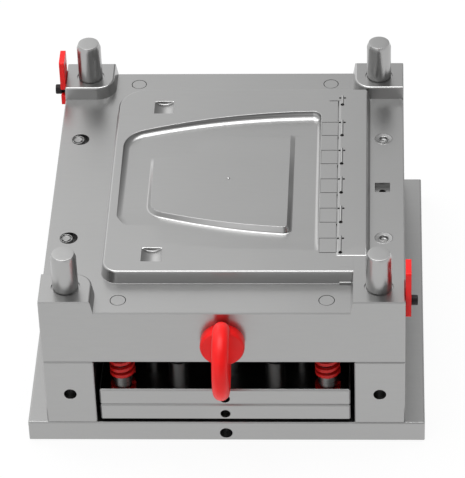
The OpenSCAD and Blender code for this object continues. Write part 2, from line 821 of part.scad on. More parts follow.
module rest_buttons() {
    color(bright_steel) rest_places() translate([0, 0, clamp_t]) {
        cylinder(d = rest_d, h = rest_h - 0.5);
        translate([0, 0, rest_h - 0.5]) cylinder(d1 = rest_d, d2 = rest_d - 1, h = 0.5);
        translate([0, 0, 1 - rest_spigot_d]) cylinder(d = rest_spigot_d, h = rest_spigot_d);
    }
}

// Lifting eyebolt in the front face of the core plate, with its ring upright
module eyebolt() {
    ring_r = (eye_d - eye_rod_d) / 2;
    color(red_paint) translate([0, -half_l, eye_z]) {
        difference() {
            translate([0, -eye_reach, 0]) rotate([0, 90, 0]) rotate_extrude($fn = 96)
                translate([ring_r, 0]) circle(d = eye_rod_d);
            translate([-eye_rod_d, 0, -eye_d / 2]) cube([2 * eye_rod_d, eye_d, eye_d]);
        }
        rotate([90, 0, 0]) {
            cylinder(d = eye_flange_d, h = eye_flange_t - 2);
            translate([0, 0, eye_flange_t - 2])
                cylinder(d1 = eye_flange_d, d2 = eye_flange_d - 4, h = 2);
            translate([0, 0, -eye_bite]) cylinder(d = eye_shank_d, h = eye_bite);
        }
    }
}

// Strap outline with its screw slot at the origin, open towards +X, and a round hole above
module strap_outline() {
    r = 3;
    half = strap_w / 2;
    above = strap_l - half;
    difference() {
        union() {
            translate([-half + r, -half]) square([strap_w - 2 * r, strap_l]);
            translate([-half, -half + r]) square([strap_w, strap_l - 2 * r]);
            for (x = [-half + r, half - r], y = [-half + r, above - r])
                translate([x, y]) circle(r);
        }
        circle(strap_slot_r);
        rotate(strap_slot_tilt) translate([0, 0.1 - strap_slot_r])
            square([strap_w, 2 * strap_slot_r - 0.2]);
        translate([0, above - half]) circle(strap_slot_r);
    }
}

// Strap on the side face: the left one opens to the front, the right one to the back
module strap(side) {
    color(red_paint) translate([side * (half_w + strap_gap), -side * guide_y, strap_screw_z])
        rotate([0, 0, side * 90]) rotate([90, 0, 0]) linear_extrude(strap_t) strap_outline();
}

module strap_screw(side) {
    color(black_oxide) translate([side * (half_w + strap_t + 2 * strap_gap), -side * guide_y,
        strap_screw_z]) rotate([0, side * 90, 0])
        cap_screw(strap_screw_d, strap_t + 2 * strap_gap + strap_screw_bite - 1, 13, strap_head_h);
}

// Cap screws that sit against the outer side of their lock holes
module lock_screws_left() {
    color(bright_steel) for (s = [-1, 1])
        translate([-lock_x - lock_shift, s * lock_y, parting_z - lock_depth])
            cap_screw(lock_screw_d, screw_bite - 1, lock_d - 2 * lock_shift - 0.3, lock_depth - 0.5);
}

// Bushes with a hexagon cup that fill their lock holes
module lock_bushes_right() {
    color(bright_steel) for (s = [-1, 1])
        translate([lock_x, s * lock_y, parting_z - lock_depth])
            cap_screw(lock_screw_d, screw_bite - 1, lock_d - 0.4, lock_depth - 0.5);
}

// Clearance holes of the pillars and seats of the guide bushes in an ejector plate
module ejector_plate_passages(z, t) {
    translate([0, 0, z - over]) {
        at_corners(pillar_x, pillar_y) cylinder(d = pillar_d + 2 * pillar_gap, h = t + 2 * over);
        for (s = [-1, 1]) translate([0, s * mid_pillar_y, 0])
            cylinder(d = mid_pillar_d + 2 * pillar_gap, h = t + 2 * over);
        at_corners(ejector_guide_x, ejector_guide_y)
            cylinder(d = bush_d + 2 * thread_gap, h = t + 2 * over);
    }
}

// Collar on a guide bush, trapped between the two ejector plates
module bush_collar(grow = 0) {
    cylinder(d = bush_d + 2 * head_step + 2 * grow, h = rod_head_l + grow);
}

module plate_screw_places() {
    for (y = plate_screw_ys) at_corners(plate_screw_x, y) children();
}

module rod_places() {
    for (i = [0 : block_n - 1]) translate([block_x, block_y(i), 0]) children();
}

module retainer_plate() {
    color(steel) difference() {
        translate([0, 0, retainer_z]) plate(ejector_w, plate_l, retainer_t, edge_c + 0.5);
        ejector_plate_passages(retainer_z, retainer_t);
        lift_holes(0, retainer_z + retainer_t / 2 - lift_under, small_lift_d, lift_depth);
        translate([0, 0, retainer_z - over]) {
            at_corners(return_x, return_y) {
                cylinder(d = return_d + 2 * head_step + 0.4, h = head_l + over);
                cylinder(d = return_d + 0.4, h = retainer_t + 2 * over);
            }
            rod_places() {
                cylinder(d = rod_d + 2 * head_step + 0.4, h = rod_head_l + over);
                cylinder(d = rod_d + 0.4, h = retainer_t + 2 * over);
            }
            at_corners(ejector_guide_x, ejector_guide_y) translate([0, 0, over]) bush_collar(0.2);
            cylinder(d = centre_pin_d + 4.4, h = 4 + over);
            cylinder(d = centre_pin_d + 0.4, h = retainer_t + 2 * over);
            plate_screw_places()
                cylinder(d = plate_screw_d + 2 * thread_gap, h = short_bite + 2 * over);
        }
    }
}

module ejector_plate() {
    color(steel) difference() {
        translate([0, 0, ejector_z]) plate(ejector_w, plate_l, ejector_t, edge_c + 0.5);
        ejector_plate_passages(ejector_z, ejector_t);
        lift_holes(0, ejector_z + ejector_t / 2 - lift_under, small_lift_d, lift_depth);
        translate([0, 0, ejector_z - over])
            cylinder(d = knockout_thread_d, h = ejector_t - knockout_floor + over);
        plate_screw_places() translate([0, 0, ejector_z])
            screw_hole_up(plate_screw_d, plate_screw_d + head_sink, ejector_t + over);
    }
}

module plate_screws() {
    seat = ejector_z + plate_screw_d + head_sink;
    color(black_oxide) plate_screw_places()
        screw_up(plate_screw_d, seat, retainer_z + short_bite - seat);
}

// Pin with a head that the two ejector plates clamp between them
module headed_pin(d, head_h, top) {
    cylinder(d = d + 2 * head_step, h = head_h);
    cylinder(d = d, h = top - retainer_z);
}

module return_pin(sx, sy) {
    color(bright_steel) translate([sx * return_x, sy * return_y, retainer_z])
        headed_pin(return_d, head_l, parting_z);
}

module ejector_rods() {
    color(bright_steel) rod_places() translate([0, 0, retainer_z])
        headed_pin(rod_d, rod_head_l, block_z + short_bite);
}

// Pin whose end forms the small dot at the middle of the lid
module centre_pin() {
    color(bright_steel) translate([0, 0, retainer_z]) {
        cylinder(d = centre_pin_d + 4, h = 4);
        cylinder(d = centre_pin_d, h = top_z - wedge_drop - retainer_z);
    }
}

module spring_collars() {
    color(bright_steel) at_corners(return_x, return_y) translate([0, 0, retainer_top])
        difference() {
            cylinder(d = return_d + 2 * collar_wall, h = collar_h);
            translate([0, 0, -over]) cylinder(d = return_d + 2 * thread_gap, h = collar_h + 2 * over);
        }
}

// Flat-wire spring between its collar and the roof of its pocket; the end coils lie close
module return_spring(sx, sy) {
    steps = 16;
    z0 = retainer_top + collar_h;
    free_h = core_z + spring_pocket - z0;
    close_rise = spring_wire_h + 0.15;
    open_rise = (free_h - spring_wire_h - 2 * close_rise) / (spring_turns - 2);
    function coil_z(t) = t < 1 ? close_rise * t
        : t < spring_turns - 1 ? close_rise + open_rise * (t - 1)
        : close_rise * (t + 2 - spring_turns) + open_rise * (spring_turns - 2);
    outer = spring_d / 2;
    inner = outer - spring_wire_w;
    n = spring_turns * steps;
    points = [for (i = [0 : n], q = [[inner, 0], [outer, 0], [outer, spring_wire_h],
        [inner, spring_wire_h]])
        [q[0] * cos(360 * i / steps), q[0] * sin(360 * i / steps), coil_z(i / steps) + q[1]]];
    sides = [for (i = [0 : n - 1], k = [0 : 3])
        [4 * i + k, 4 * (i + 1) + k, 4 * (i + 1) + (k + 1) % 4, 4 * i + (k + 1) % 4]];
    ends = [[0, 1, 2, 3], [4 * n + 3, 4 * n + 2, 4 * n + 1, 4 * n]];
    color(red_paint) translate([sx * return_x, sy * return_y, z0])
        polyhedron(points = points, faces = concat(sides, ends));
}

// Hinge block that rides on its ejector rod, flush with the lid core at rest
module hinge_block(i) {
    color(bright_steel) difference() {
        translate([block_left, block_y(i) - block_l / 2, block_z])
            cube([bar_left - block_gap - block_left, block_l, block_h]);
        translate([block_right, block_y(i) - block_l / 2 - over, top_z - groove_depth])
            cube([groove_w, block_l + 2 * over, groove_depth + over]);
        translate([block_x, block_y(i), block_z - over])
            cylinder(d = rod_d + 2 * thread_gap, h = short_bite + 2 * over);
    }
}

// Bush through both ejector plates, running on an ejector guide pin
module guide_bush(sx, sy) {
    color(bright_steel) translate([sx * ejector_guide_x, sy * ejector_guide_y, ejector_z])
        difference() {
            union() {
                cylinder(d = bush_d, h = ejector_t + retainer_t);
                translate([0, 0, ejector_t]) bush_collar();
            }
            translate([0, 0, -over]) cylinder(d = ejector_guide_d + 2 * slide_gap,
                h = ejector_t + retainer_t + 2 * over);
        }
}

clamp_plate();
spacer_block(-1);  // spacer_left
spacer_block(1);  // spacer_right
core_plate();
core_insert();
hinge_bar();
hinge_end_block();
knuckle_rods();
guide_pin(-1, -1);  // guide_pin_front_left
guide_pin(1, -1);  // guide_pin_front_right
guide_pin(-1, 1);  // guide_pin_back_left
guide_pin(1, 1);  // guide_pin_back_right
pillar(-pillar_x, -pillar_y, pillar_d);  // pillar_front_left
pillar(pillar_x, -pillar_y, pillar_d);  // pillar_front_right
pillar(-pillar_x, pillar_y, pillar_d);  // pillar_back_left
pillar(pillar_x, pillar_y, pillar_d);  // pillar_back_right
pillar(0, -mid_pillar_y, mid_pillar_d);  // middle_pillar_front
pillar(0, mid_pillar_y, mid_pillar_d);  // middle_pillar_back
ejector_guide_pin(-1, -1);  // ejector_guide_front_left
ejector_guide_pin(1, -1);  // ejector_guide_front_right
ejector_guide_pin(-1, 1);  // ejector_guide_back_left
ejector_guide_pin(1, 1);  // ejector_guide_back_right
clamp_screws();
spacer_screws();
insert_screws();
bar_screws();
pillar_screws();
rest_buttons();
eyebolt();
strap(-1);  // strap_left
strap(1);  // strap_right
strap_screw(-1);  // strap_screw_left
strap_screw(1);  // strap_screw_right
lock_screws_left();
lock_bushes_right();
retainer_plate();
ejector_plate();
return_pin(-1, -1);  // return_pin_front_left
return_pin(1, -1);  // return_pin_front_right
return_pin(-1, 1);  // return_pin_back_left
return_pin(1, 1);  // return_pin_back_right
return_spring(-1, -1);  // return_spring_front_left
return_spring(1, -1);  // return_spring_front_right
return_spring(-1, 1);  // return_spring_back_left
return_spring(1, 1);  // return_spring_back_right
spring_collars();
hinge_block(0);  // hinge_block_1
hinge_block(1);  // hinge_block_2
hinge_block(2);  // hinge_block_3
hinge_block(3);  // hinge_block_4
hinge_block(4);  // hinge_block_5
ejector_rods();
centre_pin();
plate_screws();
guide_bush(-1, -1);  // guide_bush_front_left
guide_bush(1, -1);  // guide_bush_front_right
guide_bush(-1, 1);  // guide_bush_back_left
guide_bush(1, 1);  // guide_bush_back_right
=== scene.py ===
import math

import bmesh
import bpy
from mathutils import Matrix, Vector


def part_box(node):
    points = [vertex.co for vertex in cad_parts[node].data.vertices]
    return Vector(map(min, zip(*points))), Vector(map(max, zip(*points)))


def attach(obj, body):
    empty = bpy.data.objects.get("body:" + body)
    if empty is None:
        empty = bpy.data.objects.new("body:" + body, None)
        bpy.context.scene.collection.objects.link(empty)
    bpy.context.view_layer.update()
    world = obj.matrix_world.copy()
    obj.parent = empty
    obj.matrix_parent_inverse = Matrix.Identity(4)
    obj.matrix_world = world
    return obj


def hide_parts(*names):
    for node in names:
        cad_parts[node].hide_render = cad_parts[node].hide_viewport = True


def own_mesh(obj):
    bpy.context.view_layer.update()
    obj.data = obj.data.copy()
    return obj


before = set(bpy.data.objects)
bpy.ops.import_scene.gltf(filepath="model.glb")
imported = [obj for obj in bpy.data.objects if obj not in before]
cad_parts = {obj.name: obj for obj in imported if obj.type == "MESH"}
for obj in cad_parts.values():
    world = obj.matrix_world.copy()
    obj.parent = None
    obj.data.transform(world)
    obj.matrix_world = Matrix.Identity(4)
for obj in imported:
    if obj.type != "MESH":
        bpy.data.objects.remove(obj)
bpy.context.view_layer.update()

MM = 0.001

# Camera fitted to the photograph: pinhole, no shift
FOCAL_PX = 3182.87
IMAGE_PX = 478
SENSOR_MM = 36.0
CAMERA_AT = (0.1960095, -3.2180010, 2.7218887)
PITCH, YAW, ROLL = 0.678059531, -0.0601638333, -0.0384054634


# Materials

class Tree:
    """Short calls for the nodes of a material or of the world."""

    def __init__(self, owner):
        self.owner = owner
        owner.use_nodes = True
        self.nodes = owner.node_tree.nodes
        self.links = owner.node_tree.links

    def add(self, kind, inputs=None, **settings):
        """New node, whose inputs are plain values or other nodes' sockets."""
        node = self.nodes.new(kind)
        for key, value in settings.items():
            setattr(node, key, value)
        for key, value in (inputs or {}).items():
            if isinstance(value, bpy.types.NodeSocket):
                self.links.new(value, node.inputs[key])
            else:
                node.inputs[key].default_value = value
        return node

    def noise(self, scale, detail=3.0, stretch=(1, 1, 1)):
        """Noise in object coordinates, drawn out along an axis where stretch is small."""
        coordinates = self.add("ShaderNodeTexCoord")
        place = self.add("ShaderNodeMapping", {"Scale": stretch,
                                               "Vector": coordinates.outputs["Object"]})
        return self.add("ShaderNodeTexNoise", {"Scale": scale, "Detail": detail,
                                               "Vector": place.outputs["Vector"]}).outputs["Fac"]

    def spread(self, noise, low, high):
        """The middle range of a noise, brought to between low and high."""
        return self.add("ShaderNodeMapRange", {"Value": noise, "From Min": 0.3, "From Max": 0.7,
                                               "To Min": low, "To Max": high}).outputs["Result"]

    def mix(self, factor, a, b):
        return self.add("ShaderNodeMix", {0: factor, 6: a, 7: b}, data_type="RGBA").outputs[2]

    def math(self, operation, a, b):
        return self.add("ShaderNodeMath", {0: a, 1: b}, operation=operation).outputs[0]

    def surface(self, base, roughness, height, strength, depth, edge, samples):
        """Wires colour, roughness and a bump, over edges that look rounded by edge millimetres."""
        shader = self.nodes["Principled BSDF"]
        bump = self.add("ShaderNodeBump", {"Strength": strength, "Distance": depth,
                                           "Height": height})
        if edge > 0:
            bevel = self.add("ShaderNodeBevel", {"Radius": edge * MM}, samples=samples)
            self.links.new(bevel.outputs["Normal"], bump.inputs["Normal"])
        self.links.new(base, shader.inputs["Base Color"])
        self.links.new(roughness, shader.inputs["Roughness"])
        self.links.new(bump.outputs["Normal"], shader.inputs["Normal"])
        return shader


def srgb(value):
    """Linear value of an sRGB level from 0 to 255."""
    v = value / 255.0
    return v / 12.92 if v <= 0.04045 else ((v + 0.055) / 1.055) ** 2.4


def grey(level, tint=(1, 1, 1)):
    return tuple(min(1.0, level * t) for t in tint) + (1.0,)


def steel(name, level, roughness, grain=(1, 1, 1), edge=0.0, top_roughness=None):
    """Satin steel with faint blotches and a fine grain, smoother on faces that look up if asked."""
    tint = (1, 1, 0.995)
    blotch, streak, streak_level = 0.012, 0.25, 0.93
    rough_blotch, rough_grain = 0.04, 0.012
    t = Tree(bpy.data.materials.new(name))
    cloud = t.noise(7.0)
    fine = t.noise(240.0, stretch=grain)
    base = t.mix(t.spread(cloud, 0.0, 1.0), grey(level * (1 - blotch), tint),
                 grey(level * (1 + blotch), tint))
    base = t.mix(t.spread(fine, 0.0, streak), base, grey(level * streak_level, tint))
    rough = t.math("ADD", t.spread(cloud, roughness * (1 - rough_blotch),
                                   roughness * (1 + rough_blotch)),
                   t.spread(fine, -rough_grain, rough_grain))
    if top_roughness is not None:
        normal = t.add("ShaderNodeNewGeometry").outputs["Normal"]
        up = t.add("ShaderNodeSeparateXYZ", {"Vector": normal}).outputs["Z"]
        rough = t.add("ShaderNodeMapRange", {"Value": up, "From Min": 0.90, "From Max": 0.99,
                                             "To Min": rough, "To Max": top_roughness}).outputs[0]
    shader = t.surface(base, rough, fine, 0.004, 0.0004, edge, 8)
    shader.inputs["Metallic"].default_value = 1.0
    return t.owner


def paint(name, color, roughness, edge=1.0, coat=0.0):
    """Sprayed paint with a slight orange peel and a little unevenness in its colour."""
    darker, lighter, rough_blotch = 0.92, 1.06, 0.15
    t = Tree(bpy.data.materials.new(name))
    cloud = t.noise(30.0)
    peel = t.noise(700.0, 2.0)
    base = t.mix(t.spread(cloud, 0.0, 1.0), tuple(c * darker for c in color) + (1.0,),
                 tuple(min(1.0, c * lighter) for c in color) + (1.0,))
    rough = t.spread(cloud, roughness * (1 - rough_blotch), roughness * (1 + rough_blotch))
    shader = t.surface(base, rough, peel, 0.05, 0.0003, edge, 4)
    shader.inputs["Specular IOR Level"].default_value = 0.22
    shader.inputs["Coat Weight"].default_value = coat
    shader.inputs["Coat Roughness"].default_value = 0.15
    return t.owner


STEEL = srgb(169)
ALONG_X, ALONG_Z = (0.15, 1, 1), (1, 1, 0.1)
PLATE = steel("plate_steel", STEEL, 0.30, grain=ALONG_X, edge=0.8)
STRIP = steel("strip_steel", STEEL, 0.30, grain=ALONG_X)
CORE = steel("core_steel", STEEL, 0.30, grain=ALONG_X)
PIN = steel("pin_steel", STEEL * 1.05, 0.30, grain=ALONG_Z)
RETAINER = steel("retainer_steel", STEEL, 0.30, grain=ALONG_X, edge=0.8, top_roughness=0.12)
FITTING = steel("fitting_steel", STEEL * 0.95, 0.30, edge=0.5)
RED = paint("red_paint", (0.78, 0.010, 0.010), 0.36, coat=0.03)
# Red spring paint, darkened as painted shade for the springs in the shaded ejector space
SHADED_SPRING_RED = paint("spring_red", (0.47, 0.010, 0.009), 0.30, edge=0.8)
BLACK = paint("black_oxide", (0.012, 0.012, 0.013), 0.45, edge=0.4)

MATERIAL_OF = {
    "retainer_plate": RETAINER, "core_plate": STRIP, "clamp_plate": PLATE, "spacer_left": PLATE,
    "spacer_right": PLATE, "ejector_plate": PLATE, "core_insert": CORE, "hinge_bar": CORE,
    "hinge_end_block": CORE, "knuckle_rods": PIN, "eyebolt": RED, "strap_left": RED,
    "strap_right": RED, "lock_screws_left": FITTING, "lock_bushes_right": FITTING,
}


def material_for(node):
    """Material of a CAD node, by its name or by the kind of piece that its name tells."""
    if node in MATERIAL_OF:
        return MATERIAL_OF[node]
    if node.startswith("return_spring"):
        return SHADED_SPRING_RED
    if node.startswith("hinge_block"):
        return CORE
    if node.startswith("return_pin"):
        return STRIP
    if "screw" in node:
        return BLACK
    return PIN


for node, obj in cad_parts.items():
    obj.data.materials.clear()
    obj.data.materials.append(material_for(node))


# Sizes that several pieces share, in millimetres, read from the CAD nodes

def box_of(node):
    """Low and high corner of a CAD node."""
    return [[c / MM for c in corner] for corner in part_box(node)]


def middle_of(node):
    low, high = box_of(node)
    return [(a + b) / 2 for a, b in zip(low, high)]


INSERT_LOW, INSERT_HIGH = box_of("core_insert")
BAR_LOW, BAR_HIGH = box_of("hinge_bar")
TOP = round(BAR_HIGH[2], 1)
PARTING = round(box_of("return_pin_front_left")[1][2], 1)
DRAFT_ANGLE = math.radians(10)
DRAFT = math.tan(DRAFT_ANGLE)
WALL_FOOT = (TOP - PARTING) * DRAFT
INSERT_LEFT = round(INSERT_LOW[0] + WALL_FOOT, 1)
INSERT_RIGHT = round(INSERT_HIGH[0], 1)
INSERT_BACK = round(INSERT_HIGH[1] - WALL_FOOT, 1)
BAR_LEFT, BAR_FRONT = round(BAR_LOW[0], 1), round(BAR_LOW[1], 1)
BAR_RIGHT = round(BAR_HIGH[0] - WALL_FOOT, 1)
BLOCK_YS = [round(middle_of(f"hinge_block_{i}")[1], 2) for i in range(1, 6)]
CUT_TOP = TOP + 13

# Sunk field and raised wedge: side lines, and (Y, depth or height) along the left and right side
FIELD_LEFT, FIELD_RIGHT = -138.6, 116.9
FIELD_DEPTH_LEFT = [(-102, -0.5), (-97, -0.1), (-74, 1.61), (160, 8.63)]
FIELD_DEPTH_RIGHT = [(-154, -0.5), (-150, -0.1), (-133, 1.81), (160, 10.6)]
WEDGE_LEFT, WEDGE_RIGHT = -101.3, 84.0
WEDGE_HEIGHT_LEFT = [(-200, 11.38), (38, 0.72), (47, 0.0), (51, -0.5)]
WEDGE_HEIGHT_RIGHT = [(-200, 12.81), (58, 1.25), (92, 1.2), (100, 0.0), (104, -0.5)]


# Outlines and surfaces

def broken_line(points, y):
    """Value at y on a line through (y, value) points, level beyond its ends."""
    for (y0, v0), (y1, v1) in zip(points, points[1:]):
        if y < y1:
            return v0 + (v1 - v0) * max(0.0, (y - y0) / (y1 - y0))
    return points[-1][1]


def between(x, left, right, at_left, at_right):
    """Value at x on a line between two sides, level beyond them."""
    share = min(1.0, max(0.0, (x - left) / (right - left)))
    return at_left + (at_right - at_left) * share


def field_floor(x, y):
    """Height of the sunk field's floor, deeper to the back and rising to the rim in front."""
    return TOP - between(x, FIELD_LEFT, FIELD_RIGHT, broken_line(FIELD_DEPTH_LEFT, y),
                         broken_line(FIELD_DEPTH_RIGHT, y))


def wedge_height(x, y):
    """Height of the raised wedge above the floor, none behind its skewed back line."""
    return between(x, WEDGE_LEFT, WEDGE_RIGHT, broken_line(WEDGE_HEIGHT_LEFT, y),
                   broken_line(WEDGE_HEIGHT_RIGHT, y))


def circle(x, y, r, steps):
    """Points on a circle, counter-clockwise."""
    return [(x + r * math.cos(2 * math.pi * i / steps), y + r * math.sin(2 * math.pi * i / steps))
            for i in range(steps)]


def arc(cx, cy, r, x_from, x_to, steps, upper):
    """Corners on a circle between two X positions, on its upper or lower half."""
    points = []
    for i in range(steps + 1):
        x = x_from + (x_to - x_from) * i / steps
        rise = math.sqrt(r * r - (x - cx) ** 2)
        points.append((x, cy + rise if upper else cy - rise, 0))
    return points


def rounded(corners, steps):
    """Closed outline through (x, y, radius) corners, each rounded by its radius."""
    points = []
    for i, (x, y, r) in enumerate(corners):
        here = Vector((x, y))
        if not r:
            points.append(here)
            continue
        back = (Vector(corners[i - 1][:2]) - here).normalized()
        ahead = (Vector(corners[(i + 1) % len(corners)][:2]) - here).normalized()
        angle = back.angle(ahead) / 2
        centre = here + (back + ahead).normalized() * (r / math.sin(angle))
        start = here + back * (r / math.tan(angle)) - centre
        turn = start.angle_signed(here + ahead * (r / math.tan(angle)) - centre)
        for k in range(steps + 1):
            a = -turn * k / steps
            points.append(centre + Vector((start.x * math.cos(a) - start.y * math.sin(a),
                                           start.x * math.sin(a) + start.y * math.cos(a))))
    return points


def subdivide(points, longest):
    """Closed outline whose long sides are cut into pieces no longer than longest."""
    result = []
    for i, p in enumerate(points):
        q = points[(i + 1) % len(points)]
        n = max(1, math.ceil((q - p).length / longest))
        result += [p.lerp(q, k / n) for k in range(n)]
    return result


def inward_normals(points):
    """Inward mitre directions of a counter-clockwise outline."""
    normals = []
    for i, p in enumerate(points):
        a = (p - points[i - 1]).normalized()
        b = (points[(i + 1) % len(points)] - p).normalized()
        na, nb = Vector((-a.y, a.x)), Vector((-b.y, b.x))
        mid = (na + nb).normalized()
        normals.append(mid / max(0.3, mid.dot(na)))
    return normals


def by_side(normals, left, right, back, front, rounds):
    """A value for each point of an outline by the side it is on, blended round the corners."""
    values = [left if n.x > 0.75 else right if n.x < -0.75 else back if n.y < 0 else front
              for n in normals]
    for _ in range(rounds):
        values = [(values[i - 1] + values[i] + values[(i + 1) % len(values)]) / 3
                  for i in range(len(values))]
    return values


# Meshes

def loft(name, rings):
    """Closed mesh from rings of equal length, given in millimetres."""
    n = len(rings[0])
    verts = [Vector(p) * MM for ring in rings for p in ring]
    faces = []
    for k in range(len(rings) - 1):
        for i in range(n):
            j = (i + 1) % n
            faces.append((k * n + i, k * n + j, (k + 1) * n + j, (k + 1) * n + i))
    faces.append(tuple(reversed(range(n))))
    faces.append(tuple((len(rings) - 1) * n + i for i in range(n)))
    mesh = bpy.data.meshes.new(name)
    mesh.from_pydata(verts, [], faces)
    obj = bpy.data.objects.new(name, mesh)
    bpy.context.scene.collection.objects.link(obj)
    clean(obj)
    return obj


def clean(obj):
    """Merges double vertices, drops empty faces and turns the faces outward."""
    same = 0.000001
    bm = bmesh.new()
    bm.from_mesh(obj.data)
    bmesh.ops.remove_doubles(bm, verts=bm.verts, dist=same)
    bmesh.ops.dissolve_degenerate(bm, edges=bm.edges, dist=same)
    bmesh.ops.recalc_face_normals(bm, faces=bm.faces)
    bm.to_mesh(obj.data)
    bm.free()


def drape(obj, height_at, top):
    """Cuts the flat top or bottom into strips and lays it on the surface height_at."""
    strips, offset = ((1, 6.0), (0, 40.0)), 0.3
    bm = bmesh.new()
    bm.from_mesh(obj.data)
    caps = sorted(bm.faces, key=lambda f: len(f.verts))[-2:]
    faces = [max(caps, key=lambda f: f.calc_center_median().z * (1 if top else -1))]
    for axis, step in strips:
        for k in range(-40, 41):
            at, across = Vector((0, 0, 0)), Vector((0, 0, 0))
            at[axis], across[axis] = (k * step + offset) * MM, 1.0
            parts = set(faces) | {e for f in faces for e in f.edges} | {v for f in faces
                                                                        for v in f.verts}
            cut = bmesh.ops.bisect_plane(bm, geom=list(parts), plane_co=at, plane_no=across)
            faces = [f for f in set(cut["geom"]) if isinstance(f, bmesh.types.BMFace)]
    for v in {v for f in faces for v in f.verts}:
        v.co.z = height_at(v.co.x / MM, v.co.y / MM) * MM
    bmesh.ops.triangulate(bm, faces=[f for f in faces if len(f.verts) > 4])
    bm.to_mesh(obj.data)
    bm.free()


def block(name, x0, y0, z0, x1, y1, z1):
    """Box between two corners."""
    return loft(name, [[(x0, y0, z), (x1, y0, z), (x1, y1, z), (x0, y1, z)] for z in (z0, z1)])


def along_x(name, profile, x0, x1):
    """Prism along X from (y, z) points."""
    return loft(name, [[(x, y, z) for y, z in profile] for x in (x0, x1)])


def along_y(name, profile, y0, y1):
    """Prism along Y from (x, z) points."""
    return loft(name, [[(x, y, z) for x, z in profile] for y in (y0, y1)])


def turned(name, profile, x=0, y=0, steps=64):
    """Solid turned about a vertical axis from (radius, z) points, closed at both ends."""
    return loft(name, [[(a, b, z) for a, b in circle(x, y, r, steps)] for r, z in profile])


def turned_along_y(name, profile, x, z, steps):
    """Solid turned about an axis along Y from (radius, y) points, closed at both ends."""
    return loft(name, [[(a, y, b) for a, b in circle(x, z, r, steps)] for r, y in profile])


def post(name, x, y, z0, r, steps):
    """Round cutter from z0 up."""
    return turned(name, [(r, z0), (r, CUT_TOP)], x, y, steps)


def apply_modifiers(obj):
    graph = bpy.context.evaluated_depsgraph_get()
    mesh = bpy.data.meshes.new_from_object(obj.evaluated_get(graph))
    obj.modifiers.clear()
    old, obj.data = obj.data, mesh
    bpy.data.meshes.remove(old)


def boolean(obj, tools, operation):
    """Applies one exact boolean with every tool, then deletes the tools."""
    for tool in tools:
        modifier = obj.modifiers.new("cut", "BOOLEAN")
        modifier.operation = operation
        modifier.solver = "EXACT"
        modifier.object = tool
    apply_modifiers(obj)
    for tool in tools:
        bpy.data.objects.remove(tool, do_unlink=True)


def shade(obj):
    """Smooth shading with sharp edges, where large flat faces keep their own direction."""
    sharp_turn, flat_turn, large_face = 32, 3, 0.0003
    bm = bmesh.new()
    bm.from_mesh(obj.data)
    areas = {f: f.calc_area() for f in bm.faces}
    for f in bm.faces:
        f.smooth = True
    for e in bm.edges:
        faces = e.link_faces
        turn = math.degrees(e.calc_face_angle(0)) if len(faces) == 2 else 180
        flat = turn > flat_turn and all(areas[f] > large_face for f in faces)
        e.smooth = not (turn > sharp_turn or flat)
    bm.to_mesh(obj.data)
    bm.free()
    modifier = obj.modifiers.new("weights", "WEIGHTED_NORMAL")
    modifier.keep_sharp = True
    modifier.weight = 80
    apply_modifiers(obj)


def join(name, objects):
    """One mesh from several closed ones that do not touch."""
    bm = bmesh.new()
    for obj in objects:
        bm.from_mesh(obj.data)
    mesh = bpy.data.meshes.new(name)
    bm.to_mesh(mesh)
    bm.free()
    for obj in objects:
        bpy.data.objects.remove(obj, do_unlink=True)
    result = bpy.data.objects.new(name, mesh)
    bpy.context.scene.collection.objects.link(result)
    return result


def copy_of(node):
    """New object with a copy of a CAD node's mesh, in the same place."""
    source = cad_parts[node]
    obj = bpy.data.objects.new(node + "_mesh", source.data.copy())
    bpy.context.scene.collection.objects.link(obj)
    obj.matrix_world = source.matrix_world
    return obj


def stand_in(obj, node, body, material):
    """Puts a finished mesh in the place of a CAD node."""
    clean(obj)
    shade(obj)
    obj.data.materials.clear()
    obj.data.materials.append(material)
    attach(obj, body)
    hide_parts(node)


# Lid core

def wall_profile(foot_r, top_r):
    """(outward offset, height) points of a drafted wall with a foot fillet and a rounded top."""
    steps, height, quarter = 6, TOP - PARTING, math.radians(90)
    points = []
    reach = (foot_r * math.cos(DRAFT_ANGLE)
             + (height - foot_r * (1 - math.sin(DRAFT_ANGLE))) * DRAFT)
    for k in range(steps + 1):
        a = 3 * quarter - (quarter - DRAFT_ANGLE) * k / steps
        points.append((reach + foot_r * math.cos(a), PARTING + foot_r * (1 + math.sin(a))))
    inset = top_r * ((1 - math.sin(DRAFT_ANGLE)) * DRAFT - math.cos(DRAFT_ANGLE))
    for k in range(steps + 1):
        a = DRAFT_ANGLE + (quarter - DRAFT_ANGLE) * k / steps
        points.append((inset + top_r * math.cos(a), TOP - top_r * (1 - math.sin(a))))
    return points


def walled(name, outline, drafted, bottom, foot_r, top_r):
    """Block with drafted walls on the sides that drafted(x, y) names, upright on the others."""
    points = subdivide(rounded(outline, 14), 30.0)
    normals = inward_normals(points)
    profile = wall_profile(foot_r, top_r)
    rings = []
    for offset, z in [(profile[0][0], bottom)] + profile:
        ring = []
        for p, n in zip(points, normals):
            side_x, side_y = drafted(p.x, p.y)
            ring.append((p.x - n.x * offset * side_x, p.y - n.y * offset * side_y, z))
        rings.append(ring)
    return loft(name, rings)


